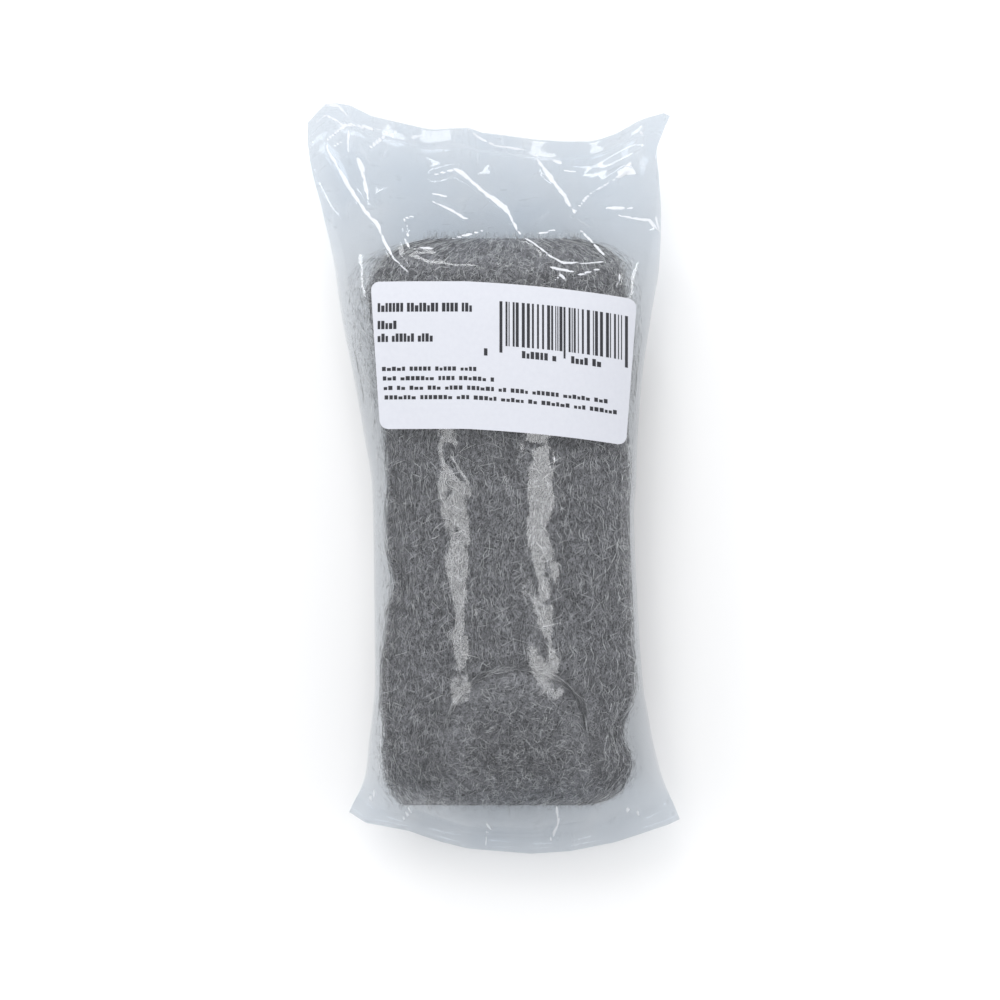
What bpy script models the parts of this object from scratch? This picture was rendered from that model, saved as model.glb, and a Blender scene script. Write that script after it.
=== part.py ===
"""A hank of fine steel wool, folded into a flat bundle and packed in a clear film bag.

The pack lies on its back. +Y runs along the fibres towards the bag's top seal, +Z points
up through the labelled front, and the origin is under the middle of the pack.
"""

import math

import bmesh
import bpy
import numpy as np

MM = 0.001

# Film and label. The film is drawn thicker than a real one, which is about 0.05 mm.
FILM_WALL = 0.3
WOOL_REST = 0.8
SEAL_HALF = 0.35
LIP_LENGTH = 6.5
LIP_GAP = 2.2
LABEL_GAP = 0.6
LABEL_THICKNESS = 0.25
LABEL_CORNER = 3.0
VENT_RADIUS = 1.5
VENT_PLACE = (0.0, 100.0)

# The tongue: the outer turn's end, folded up over the front from the bundle's lower end.
TONGUE_CENTRE = (8.5, -92.0)
TONGUE_HALF_WIDTH = 28.0
TONGUE_ARC_HEIGHT = 25.5
TONGUE_RISE = 1.2
TONGUE_EDGE = 3.0

# Cross-sections from the lower end to the upper one, in millimetres. Each row holds the
# place along Y, the left and right edges, the height of the widest line, the rise above
# it, the drop below it, the squareness, and how far the middle is drawn down in Y.
BAG_SECTIONS = (
    (-124.5, -53.0, 68.0, 16.0, SEAL_HALF, SEAL_HALF, 2.0, -13.0),
    (-120.0, -51.0, 66.0, 16.5, SEAL_HALF, SEAL_HALF, 2.0, -12.6),
    (-113.0, -48.5, 63.0, 18.5, 12.5, 12.0, 2.4, -11.5),
    (-106.0, -46.5, 60.5, 21.5, 22.0, 20.5, 2.6, -9.5),
    (-96.0, -45.5, 58.0, 23.0, 25.8, 24.0, 2.6, -7.0),
    (-75.0, -44.0, 54.5, 23.5, 26.5, 25.0, 2.6, -5.0),
    (-40.0, -43.6, 52.0, 23.5, 26.5, 25.0, 2.6, -3.0),
    (0.0, -44.2, 51.8, 23.5, 26.5, 25.0, 2.6, -3.0),
    (35.0, -50.0, 54.0, 23.5, 26.3, 25.2, 2.6, -3.0),
    (60.0, -55.5, 57.5, 23.0, 25.5, 24.5, 2.6, -4.0),
    (78.0, -58.5, 60.5, 22.0, 23.5, 21.0, 2.4, -5.0),
    (95.0, -62.0, 61.0, 21.0, 16.0, 15.0, 2.2, -7.0),
    (112.0, -66.0, 60.0, 19.5, 6.5, 6.5, 2.0, -8.0),
    (130.5, -68.0, 61.5, 18.5, SEAL_HALF, SEAL_HALF, 2.0, -9.0),
)
WOOL_SECTIONS = (
    (-119.0, -26.0, 33.0, 22.5, 2.5, 2.5, 2.6, 0.0),
    (-117.5, -33.0, 40.0, 22.5, 7.5, 7.5, 2.6, 0.0),
    (-112.0, -38.0, 47.0, 23.5, 13.5, 13.5, 2.6, 0.0),
    (-99.0, -41.2, 51.5, 24.0, 21.5, 22.0, 2.6, 0.0),
    (-75.0, -41.8, 52.2, 24.0, 23.3, 23.2, 2.6, 0.0),
    (-40.0, -40.5, 50.8, 24.0, 24.4, 23.2, 2.6, 0.0),
    (0.0, -39.8, 49.8, 24.0, 24.4, 23.2, 2.6, 0.0),
    (40.0, -43.0, 49.0, 24.0, 24.0, 23.2, 2.6, 0.0),
    (65.0, -45.5, 48.6, 24.0, 21.0, 22.0, 2.6, 0.0),
    (78.0, -42.0, 46.0, 23.0, 16.0, 16.0, 2.6, 0.0),
    (84.5, -33.0, 39.0, 22.0, 9.5, 9.5, 2.6, 0.0),
    (87.5, -21.0, 28.0, 22.0, 3.5, 3.5, 2.6, 0.0),
)

# The label's edges in millimetres. It narrows a little downwards, by its two leans, and its
# rows droop to the right of where the droop starts, by so much a millimetre and its square.
LABEL_LOW, LABEL_HIGH = 17.6, 70.6
LABEL_LEFT, LABEL_LEFT_LEAN = -44.1, 3.4
LABEL_RIGHT, LABEL_RIGHT_LEAN = 51.3, 4.0
DROOP_START = -10.0
DROOP_RATE, DROOP_CURVE = 0.05, 0.0009

BAG_RINGS, BAG_SIDES = 30, 40
WOOL_RINGS, WOOL_SIDES = 34, 36
LABEL_ROWS, LABEL_COLUMNS = 8, 22


def clear_scene():
    for thing in list(bpy.data.objects):
        bpy.data.objects.remove(thing)


def section_at(rows, place):
    """The section at this place along Y: a smooth curve through each column of the rows."""
    table = np.array(rows)
    slopes = np.gradient(table, table[:, 0], axis=0)
    place = min(max(place, table[0, 0]), table[-1, 0])
    low = min(int(np.searchsorted(table[:, 0], place, side="right")) - 1, len(table) - 2)
    span = table[low + 1, 0] - table[low, 0]
    part = (place - table[low, 0]) / span
    rise = part * part * (3 - 2 * part)
    start = part * (1 - part) ** 2 * span
    end = part * part * (part - 1) * span
    return (
        table[low] * (1 - rise) + table[low + 1] * rise + slopes[low] * start + slopes[low + 1] * end
    )


def section_point(section, angle, inset=0.0, floor=0.0):
    """A point of a section, `inset` inside its outline and no lower than `floor`."""
    place, left, right, middle, rise, drop, squareness, bow = section
    power = 2 / squareness
    across = math.copysign(abs(math.cos(angle)) ** power, math.cos(angle))
    up = math.copysign(abs(math.sin(angle)) ** power, math.sin(angle))
    x = (left + right) / 2 + ((right - left) / 2 - inset) * across
    height = (rise if up > 0 else drop) - inset
    z = max(middle + height * up, floor)
    return (x, place + bow * (1 - across * across), z)


def ring_angles(sides):
    """Angles round a section, starting at the right edge, with an edge at each side."""
    return [2 * math.pi * i / sides for i in range(sides)]


def add_ring(mesh, section, sides, inset=0.0, floor=0.0):
    points = [section_point(section, angle, inset, floor) for angle in ring_angles(sides)]
    return [mesh.verts.new([value * MM for value in point]) for point in points]


def join_rings(mesh, first, second):
    for i in range(len(first)):
        j = (i + 1) % len(first)
        mesh.faces.new((first[i], first[j], second[j], second[i]))


def close_flat(mesh, ring):
    """Closes a flattened ring with a strip between its front and its back."""
    sides = len(ring)
    mesh.faces.new((ring[0], ring[1], ring[sides - 1]))
    for i in range(1, sides // 2 - 1):
        mesh.faces.new((ring[i], ring[i + 1], ring[sides - i - 1], ring[sides - i]))
    half = sides // 2
    mesh.faces.new((ring[half - 1], ring[half], ring[half + 1]))


def loft(mesh, rings):
    for first, second in zip(rings, rings[1:]):
        join_rings(mesh, first, second)


def object_from(mesh, name, material):
    bmesh.ops.recalc_face_normals(mesh, faces=mesh.faces)
    data = bpy.data.meshes.new(name)
    mesh.to_mesh(data)
    mesh.free()
    data.shade_smooth()
    data.set_sharp_from_angle(angle=math.radians(40))
    data.materials.append(material)
    made = bpy.data.objects.new(name, data)
    bpy.context.scene.collection.objects.link(made)
    return made


def material_of(name, colour, roughness, metallic=0.0, alpha=1.0):
    material = bpy.data.materials.new(name)
    material.use_nodes = True
    shader = material.node_tree.nodes["Principled BSDF"]
    shader.inputs["Base Color"].default_value = (*colour, 1.0)
    shader.inputs["Roughness"].default_value = roughness
    shader.inputs["Metallic"].default_value = metallic
    shader.inputs["Alpha"].default_value = alpha
    return material


def smooth_step(low, high, value):
    part = min(max((value - low) / (high - low), 0.0), 1.0)
    return part * part * (3 - 2 * part)


def tongue_rise(x, y):
    """How far the folded end stands above the turn under it, at this place on the front."""
    across = abs(x - TONGUE_CENTRE[0])
    along = max(y - TONGUE_CENTRE[1], 0.0)
    reach = math.hypot(across, along * TONGUE_HALF_WIDTH / TONGUE_ARC_HEIGHT)
    return TONGUE_RISE * smooth_step(0.0, TONGUE_EDGE, TONGUE_HALF_WIDTH - reach)


def build_wool():
    mesh = bmesh.new()
    first, last = WOOL_SECTIONS[0][0], WOOL_SECTIONS[-1][0]
    rings = []
    for i in range(WOOL_RINGS):
        # Rings crowd towards both ends, where the bundle rounds over.
        share = (1 - math.cos(math.pi * i / (WOOL_RINGS - 1))) / 2
        section = section_at(WOOL_SECTIONS, first + (last - first) * share)
        rings.append(add_ring(mesh, section, WOOL_SIDES, floor=WOOL_REST))
    for ring in rings[1:-1]:
        for vertex in ring[1 : WOOL_SIDES // 2]:
            vertex.co.z += tongue_rise(vertex.co.x / MM, vertex.co.y / MM) * MM
    loft(mesh, rings)
    mesh.faces.new(rings[0])
    mesh.faces.new(rings[-1])
    steel = material_of("steel_wool", (0.17, 0.17, 0.18), 0.5, metallic=1.0)
    return object_from(mesh, "wool_bundle", steel)


def bag_places():
    """Places of the bag's rings along Y, closer together where it flattens at each end."""
    first, last = BAG_SECTIONS[0][0], BAG_SECTIONS[-1][0]
    ends = [BAG_SECTIONS[1][0]]
    count = BAG_RINGS - 3
    between = [ends[0] + (last - ends[0]) * (1 - math.cos(math.pi * i / count)) / 2 for i in range(1, count)]
    return [first] + ends + between + [last]


def lip_section(gap):
    """The bag's upper edge, above the seal, where its two layers part by `gap`."""
    seal = section_at(BAG_SECTIONS, BAG_SECTIONS[-1][0])
    edge = seal.copy()
    edge[0] += LIP_LENGTH
    edge[1] += 1.5
    edge[2] += 2.5
    edge[4] += gap
    return edge


def build_bag():
    mesh = bmesh.new()
    places = bag_places()
    sections = [section_at(BAG_SECTIONS, place) for place in places]
    outside = [add_ring(mesh, section, BAG_SIDES) for section in sections]
    outside.append(add_ring(mesh, lip_section(LIP_GAP), BAG_SIDES))
    outside.append(add_ring(mesh, lip_section(LIP_GAP), BAG_SIDES, inset=0.6 * SEAL_HALF))
    foot = lip_section(0.0)
    foot[0] -= 0.7 * LIP_LENGTH
    outside.append(add_ring(mesh, foot, BAG_SIDES, inset=0.6 * SEAL_HALF))
    loft(mesh, outside)
    close_flat(mesh, outside[0])
    close_flat(mesh, outside[-1])
    # The hollow runs from seal to seal, one wall inside the outer surface.
    inside = [
        add_ring(mesh, section, BAG_SIDES, inset=FILM_WALL, floor=FILM_WALL)
        for section in sections[1:]
    ]
    loft(mesh, inside)
    close_flat(mesh, inside[0])
    close_flat(mesh, inside[-1])
    film = material_of("clear_film", (0.8, 0.83, 0.87), 0.1, alpha=0.25)
    bag = object_from(mesh, "film_bag", film)
    turn_hollow_inwards(bag, len(inside) * BAG_SIDES)
    return bag


def turn_hollow_inwards(bag, hollow_points):
    """Points the hollow's faces into the hollow, which is away from the film."""
    first = len(bag.data.vertices) - hollow_points
    mesh = bmesh.new()
    mesh.from_mesh(bag.data)
    hollow = [face for face in mesh.faces if face.verts[0].index >= first]
    inwards = sum(face.normal.dot(face.calc_center_median() - hollow_middle(hollow)) for face in hollow)
    if inwards > 0:
        bmesh.ops.reverse_faces(mesh, faces=hollow)
    mesh.to_mesh(bag.data)
    mesh.free()


def hollow_middle(faces):
    total = faces[0].calc_center_median()
    for face in faces[1:]:
        total += face.calc_center_median()
    return total / len(faces)


def cut_vent(bag):
    """A small round vent through the back layer, above the wool's upper end."""
    x, y = VENT_PLACE
    bpy.ops.mesh.primitive_cylinder_add(
        vertices=16, radius=VENT_RADIUS * MM, depth=20 * MM, location=(x * MM, y * MM, 5 * MM)
    )
    cutter = bpy.context.object
    cutter.name = "vent_cutter"
    cutter.hide_render = True
    cutter.display_type = "WIRE"
    cut = bag.modifiers.new("vent", "BOOLEAN")
    cut.operation = "DIFFERENCE"
    cut.solver = "EXACT"
    cut.object = cutter


def angle_at(section, x):
    """The angle on the front of a section whose point stands at this x."""
    half = (section[2] - section[1]) / 2
    across = min(max((x - (section[1] + section[2]) / 2) / half, -1.0), 1.0)
    cosine = math.copysign(abs(across) ** (section[6] / 2), across)
    return math.acos(cosine)


def label_point(x, level, lift):
    """A point over the bag's front at this x and, at the label's left side, this level."""
    past = max(x - DROOP_START, 0.0)
    y = level - DROOP_RATE * past - DROOP_CURVE * past**2
    section = section_at(BAG_SECTIONS, y)
    across = math.cos(angle_at(section, x)) ** 2
    section = section_at(BAG_SECTIONS, y - section[7] * (1 - across))
    return section_point(section, angle_at(section, x), inset=-lift)


def label_row(row, lift):
    """One row of the label, following the bag's front at this lift above the film."""
    height = LABEL_HIGH - LABEL_LOW
    from_edge = min(row, 1 - row) * height
    short = max(LABEL_CORNER - from_edge, 0.0)
    corner = LABEL_CORNER - math.sqrt(LABEL_CORNER**2 - short**2)
    left = LABEL_LEFT + LABEL_LEFT_LEAN * (1 - row) + corner
    right = LABEL_RIGHT - LABEL_RIGHT_LEAN * (1 - row) - corner
    columns = [left + (right - left) * i / LABEL_COLUMNS for i in range(LABEL_COLUMNS + 1)]
    return [label_point(x, LABEL_LOW + height * row, lift) for x in columns]


def label_shares():
    """Rows up the label: three close ones round each pair of corners, the rest even."""
    corner = LABEL_CORNER / (LABEL_HIGH - LABEL_LOW)
    near = [0.0, 0.15 * corner, 0.45 * corner, corner]
    middle = [corner + (1 - 2 * corner) * i / LABEL_ROWS for i in range(1, LABEL_ROWS)]
    return near + middle + [1 - share for share in reversed(near)]


def build_label():
    mesh = bmesh.new()
    shares = label_shares()
    layers = []
    for lift in (LABEL_GAP, LABEL_GAP + LABEL_THICKNESS):
        rows = [label_row(share, lift) for share in shares]
        layers.append([[mesh.verts.new([v * MM for v in point]) for point in row] for row in rows])
    for layer in layers:
        for low, high in zip(layer, layer[1:]):
            for i in range(LABEL_COLUMNS):
                mesh.faces.new((low[i], low[i + 1], high[i + 1], high[i]))
    join_rings(mesh, rim_of(layers[0]), rim_of(layers[1]))
    paper = material_of("label_paper", (0.76, 0.77, 0.8), 0.55)
    return object_from(mesh, "label", paper)


def rim_of(layer):
    left = [row[0] for row in layer[1:-1]]
    right = [row[-1] for row in layer[1:-1]]
    return layer[0] + right + layer[-1][::-1] + left[::-1]


def centre_under_origin(pieces):
    """Moves every piece together, so that the pack's box stands over the origin."""
    corners = np.array([corner for piece in pieces for corner in piece.bound_box])
    low, high = corners.min(axis=0), corners.max(axis=0)
    for piece in pieces:
        piece.location.x -= (low[0] + high[0]) / 2
        piece.location.y -= (low[1] + high[1]) / 2
        piece.location.z -= low[2]


def main():
    clear_scene()
    wool = build_wool()
    bag = build_bag()
    label = build_label()
    cut_vent(bag)
    centre_under_origin((wool, bag, label))


main()
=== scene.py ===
"""Looks of the steel wool bundle: the fibrous hank, its creased film bag and its label.

Sizes are in millimetres, drawn for a bag of BAG_WIDTH, and MM turns them into metres of the
frame, from the bag's width in it.
"""

import math

import bmesh
import bpy
import numpy as np
from mathutils import Matrix, Vector


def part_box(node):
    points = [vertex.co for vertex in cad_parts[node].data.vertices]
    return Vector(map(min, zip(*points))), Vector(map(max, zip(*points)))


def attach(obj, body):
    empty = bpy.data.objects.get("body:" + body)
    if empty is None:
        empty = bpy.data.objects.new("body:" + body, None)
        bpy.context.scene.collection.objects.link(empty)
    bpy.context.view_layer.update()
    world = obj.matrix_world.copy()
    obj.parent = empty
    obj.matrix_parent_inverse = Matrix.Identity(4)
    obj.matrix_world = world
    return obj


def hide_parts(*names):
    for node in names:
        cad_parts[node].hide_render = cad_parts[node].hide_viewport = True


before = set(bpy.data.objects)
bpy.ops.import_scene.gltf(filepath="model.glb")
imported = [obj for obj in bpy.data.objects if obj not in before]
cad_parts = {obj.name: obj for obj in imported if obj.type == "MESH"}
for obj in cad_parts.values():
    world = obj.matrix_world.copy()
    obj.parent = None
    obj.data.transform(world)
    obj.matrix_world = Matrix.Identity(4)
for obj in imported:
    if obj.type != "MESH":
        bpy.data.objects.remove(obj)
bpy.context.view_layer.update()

BAG_WIDTH = 136.0
BAG_LOW, BAG_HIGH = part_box("film_bag")
MM = (BAG_HIGH[0] - BAG_LOW[0]) / BAG_WIDTH

# The spread of the random phases, a little over one turn.
TURN = 6.3

# Cross-sections from the lower end to the upper one, in millimetres. Each row holds the
# place along Y, the left and right edges, the height of the widest line, the rise above
# it, the drop below it, the squareness, and how far the middle is drawn down in Y.
FLAT = 0.25
BAG_SECTIONS = (
    (-124.5, -53.0, 68.0, 16.0, FLAT, FLAT, 2.0, -13.0),
    (-119.5, -51.0, 66.0, 16.5, FLAT, FLAT, 2.0, -12.6),
    (-113.0, -48.5, 63.0, 18.5, 12.5, 12.0, 2.4, -11.5),
    (-106.0, -46.5, 60.5, 21.5, 22.0, 20.5, 2.6, -9.5),
    (-96.0, -45.5, 58.0, 23.0, 25.8, 24.0, 2.6, -7.0),
    (-84.0, -44.0, 55.8, 23.4, 26.3, 25.0, 2.6, -6.0),
    (-75.0, -43.3, 54.3, 23.5, 26.5, 25.0, 2.6, -5.0),
    (-40.0, -43.6, 52.0, 23.5, 26.5, 25.0, 2.6, -3.0),
    (-12.0, -44.0, 51.0, 23.5, 26.5, 25.0, 2.6, -3.0),
    (0.0, -44.6, 51.8, 23.5, 26.5, 25.0, 2.6, -3.0),
    (12.0, -46.6, 52.2, 23.5, 26.5, 25.0, 2.6, -3.0),
    (35.0, -50.6, 53.8, 23.5, 26.3, 25.2, 2.6, -3.0),
    (60.0, -55.6, 57.4, 23.0, 25.5, 24.5, 2.6, -4.0),
    (78.0, -58.2, 60.3, 22.0, 23.5, 21.0, 2.4, -5.0),
    (95.0, -62.0, 61.0, 21.0, 16.0, 15.0, 2.2, -7.0),
    (112.0, -66.0, 60.2, 19.5, 6.5, 6.5, 2.0, -8.0),
    (122.0, -67.4, 59.4, 18.8, 2.6, 2.6, 2.0, -8.5),
    (130.5, -68.0, 61.6, 18.5, FLAT, FLAT, 2.0, -9.0),
    (137.0, -68.0, 64.3, 18.5, 1.0, 1.0, 2.0, -9.0),
)
WOOL_SECTIONS = (
    (-119.0, -34.0, 35.0, 22.5, 2.5, 2.5, 2.6, 0.0),
    (-117.5, -35.2, 41.0, 22.5, 7.5, 7.5, 2.6, 0.0),
    (-112.0, -38.4, 47.5, 23.5, 13.5, 13.5, 2.6, 0.0),
    (-99.0, -41.2, 51.5, 24.0, 21.5, 22.0, 2.6, 0.0),
    (-75.0, -41.8, 52.2, 24.0, 23.3, 23.2, 2.6, 0.0),
    (-40.0, -40.5, 50.8, 24.0, 24.4, 23.2, 2.6, 0.0),
    (0.0, -39.8, 49.8, 24.0, 24.4, 23.2, 2.6, 0.0),
    (40.0, -43.0, 49.0, 24.0, 24.0, 23.2, 2.6, 0.0),
    (65.0, -45.5, 48.6, 24.0, 21.0, 22.0, 2.6, 0.0),
    (78.0, -42.0, 46.0, 23.0, 16.0, 16.0, 2.6, 0.0),
    (84.5, -33.0, 39.0, 22.0, 9.5, 9.5, 2.6, 0.0),
    (87.5, -21.0, 28.0, 22.0, 3.5, 3.5, 2.6, 0.0),
)


def clear_selection():
    for thing in bpy.context.selected_objects:
        thing.select_set(False)


# ---------------------------------------------------------------- shapes


class Sections:
    """A smooth surface through rows of cross-sections, read at any angle and place."""

    def __init__(self, rows):
        table = np.array(rows)
        places = table[:, 0]
        # Slopes that never overshoot a row, so that the film has no false humps.
        steps = np.diff(table, axis=0) / np.diff(places)[:, None]
        before, after = steps[:-1], steps[1:]
        total = np.where(before * after > 0, before + after, 1.0)
        inner = np.where(before * after > 0, 2 * before * after / total, 0.0)
        slopes = np.concatenate([steps[:1], inner, steps[-1:]])
        self.places = np.linspace(places[0], places[-1], 1500)
        low = np.clip(np.searchsorted(places, self.places, side="right") - 1, 0, len(places) - 2)
        span = (places[low + 1] - places[low])[:, None]
        part = (self.places - places[low])[:, None] / span
        rise = part * part * (3 - 2 * part)
        self.columns = (
            table[low] * (1 - rise)
            + table[low + 1] * rise
            + slopes[low] * part * (1 - part) ** 2 * span
            + slopes[low + 1] * part * part * (part - 1) * span
        )

    def column(self, number, place):
        return np.interp(place, self.places, self.columns[:, number])

    def point(self, angle, place, inset=0.0):
        """Points in millimetres, `inset` inside the surface, as an array of (..., 3)."""
        left, right, middle, rise, drop, squareness, bow = (
            self.column(number, place) for number in range(1, 8)
        )
        power = 2 / squareness
        cosine, sine = np.cos(angle), np.sin(angle)
        across = np.sign(cosine) * np.abs(cosine) ** power
        up = np.sign(sine) * np.abs(sine) ** power
        x = (left + right) / 2 + ((right - left) / 2 - inset) * across
        height = np.where(up > 0, rise, drop) - inset
        z = np.maximum(middle + height * up, inset)
        y = np.clip(place, self.places[0], self.places[-1]) + bow * (1 - across * across)
        return np.stack([x, y, z], axis=-1)

    def even_angles(self, count, place=0.0):
        """Angles that share a section's girth evenly, from its right edge round by its front."""
        fine = np.linspace(0, 2 * math.pi, 2001)
        points = self.point(fine, np.full(fine.shape, place))
        steps = np.linalg.norm(np.diff(points, axis=0), axis=1)
        length = np.concatenate([[0], np.cumsum(steps)])
        return np.interp(np.arange(count) / count * length[-1], length, fine)


BAG = Sections(BAG_SECTIONS)
WOOL = Sections(WOOL_SECTIONS)


def smooth_step(low, high, value):
    part = np.clip((value - low) / (high - low), 0.0, 1.0)
    return part * part * (3 - 2 * part)


def swell(x, y, length, seed):
    """A gentle uneven relief from -1 to 1, with waves about `length` long."""
    draw = np.random.default_rng(seed)
    total = 0.0
    for _ in range(6):
        heading = draw.uniform(0, 2 * math.pi)
        pace = 2 * math.pi / length * draw.uniform(0.6, 1.5)
        run = pace * (x * math.cos(heading) + y * math.sin(heading))
        total = total + np.sin(run + draw.uniform(0, TURN))
    return total / 3.2


def new_object(name, points, faces, smooth=True):
    """A mesh object from points in millimetres."""
    data = bpy.data.meshes.new(name)
    data.from_pydata(np.asarray(points, float).reshape(-1, 3) * MM, [], faces)
    data.validate()
    made = bpy.data.objects.new(name, data)
    bpy.context.scene.collection.objects.link(made)
    if smooth:
        data.shade_smooth()
    return made


def ring_faces(rows, sides, first=0):
    faces = []
    for row in range(rows - 1):
        start = first + row * sides
        for i in range(sides):
            j = (i + 1) % sides
            faces.append((start + i, start + j, start + sides + j, start + sides + i))
    return faces


def keep(piece, slot, *nodes):
    """Hangs the finished piece on the root body and hides the imported parts that it stands for; the
    slot is not used.
    """
    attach(piece, "root")
    if nodes:
        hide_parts(*nodes)


# ---------------------------------------------------------------- materials


def linear(hex_colour):
    """Linear RGBA of an sRGB hex colour."""
    values = [int(hex_colour[i : i + 2], 16) / 255 for i in (1, 3, 5)]
    return [v / 12.92 if v <= 0.04045 else ((v + 0.055) / 1.055) ** 2.4 for v in values] + [1.0]


def add(tree, kind, links=(), **settings):
    """Adds a node: settings are attributes or socket names, links are (socket, source)."""
    node = tree.nodes.new(kind)
    for name, value in settings.items():
        if hasattr(node, name):
            setattr(node, name, value)
        else:
            node.inputs[name.replace("_", " ")].default_value = value
    for socket, source in links:
        tree.links.new(source, node.inputs[socket])
    return node


def colour_ramp(tree, source, *stops):
    """The colours of a ramp between stops, each a place from 0 to 1 and an sRGB hex colour."""
    node = add(tree, "ShaderNodeValToRGB", [("Fac", source)])
    elements = node.color_ramp.elements
    first, *between, last = stops
    for number, (place, colour) in enumerate((first, last)):
        elements[number].position = place
        elements[number].color = linear(colour)
    for place, colour in between:
        elements.new(place).color = linear(colour)
    return node.outputs["Color"]


def combined(tree, operation, first, second):
    """Two values put together by a Math node's operation."""
    node = add(tree, "ShaderNodeMath", [(0, first), (1, second)], operation=operation)
    return node.outputs["Value"]


def principled(tree, links, **settings):
    """The main shader of an opaque material, joined to its output."""
    shader = add(tree, "ShaderNodeBsdfPrincipled", links, **settings)
    add(tree, "ShaderNodeOutputMaterial", [("Surface", shader.outputs["BSDF"])])


def new_material(name):
    material = bpy.data.materials.new(name)
    material.use_nodes = True
    material.node_tree.nodes.clear()
    return material, material.node_tree


def steel_fibre():
    """Drawn low-carbon steel shavings, each fibre with its own grey from dark to mid, and the
    near-white end of the ramp a painted glint.
    """
    material, tree = new_material("shaved_steel_fibre")
    tone_and_painted_glint = add(tree, "ShaderNodeAttribute", attribute_name="tone_and_painted_glint")
    # Dark to mid greys are the fibres' own; the near-white greys from 0.8 up are painted glints.
    colour = colour_ramp(
        tree,
        tone_and_painted_glint.outputs["Fac"],
        (0.0, "#232326"),
        (0.5, "#7A797D"),
        (0.8, "#EEEDEE"),
        (1.0, "#FFFFFC"),
    )
    principled(tree, [("Base Color", colour)], Metallic=0.35, Roughness=0.36)
    return material


def steel_mat():
    """The packed fibres under the outermost ones: bright strands over dark gaps, drawn about 0.15 mm
    wide because the real 0.05 mm fibres are too fine to show."""
    material, tree = new_material("packed_steel_wool")
    place = add(tree, "ShaderNodeTexCoord").outputs["Object"]
    folded = add(tree, "ShaderNodeAttribute", attribute_name="folded").outputs["Fac"]
    warp = add(tree, "ShaderNodeTexNoise", [("Vector", place)], Scale=160.0, Detail=2.0)
    shift = add(
        tree,
        "ShaderNodeVectorMath",
        [(0, warp.outputs["Color"]), (2, place)],
        operation="MULTIPLY_ADD",
    )
    shift.inputs[1].default_value = (0.0042, 0.0030, 0.0042)
    layers = []
    for turn, across, along in ((0.08, 1300, 420), (-0.25, 1050, 380), (0.5, 1200, 460)):
        layers.append(strand_layer(tree, shift.outputs["Vector"], turn, across, along))
    for turn, across, along in ((1.1, 1000, 620), (-0.9, 1100, 640)):
        layers.append(strand_layer(tree, shift.outputs["Vector"], turn, across, along))
    lengthwise = combined(tree, "MAXIMUM", layers[0], layers[1])
    lengthwise = combined(tree, "MAXIMUM", lengthwise, layers[2])
    curled = combined(tree, "MAXIMUM", layers[3], layers[4])
    crossing = combined(tree, "MULTIPLY", curled, folded)
    strands = combined(tree, "MAXIMUM", lengthwise, crossing)
    lumps = add(tree, "ShaderNodeTexNoise", [("Vector", place)], Scale=420.0, Detail=4.0)
    shade = combined(tree, "MULTIPLY", strands, lumps.outputs["Fac"])
    colour = colour_ramp(tree, shade, (0.02, "#1C1C1F"), (0.55, "#B6B5B8"))
    bump = add(tree, "ShaderNodeBump", [("Height", strands)], Strength=0.7, Distance=0.0002)
    links = [("Base Color", colour), ("Normal", bump.outputs["Normal"])]
    principled(tree, links, Metallic=0.3, Roughness=0.5)
    return material


def strand_layer(tree, place, turn, across, along):
    """Thin curving lines: the places where a stretched noise passes through its middle value."""
    turned = add(tree, "ShaderNodeMapping", [("Vector", place)])
    turned.inputs["Rotation"].default_value = (0.0, 0.0, turn)
    stretched = add(tree, "ShaderNodeMapping", [("Vector", turned.outputs["Vector"])])
    stretched.inputs["Scale"].default_value = (across, along, across)
    noise = add(
        tree, "ShaderNodeTexNoise", [("Vector", stretched.outputs["Vector"])], Scale=1.0, Detail=1.5
    )
    stops = (0.44, "#000000"), (0.5, "#FFFFFF"), (0.56, "#000000")
    return colour_ramp(tree, noise.outputs["Fac"], *stops)


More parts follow.
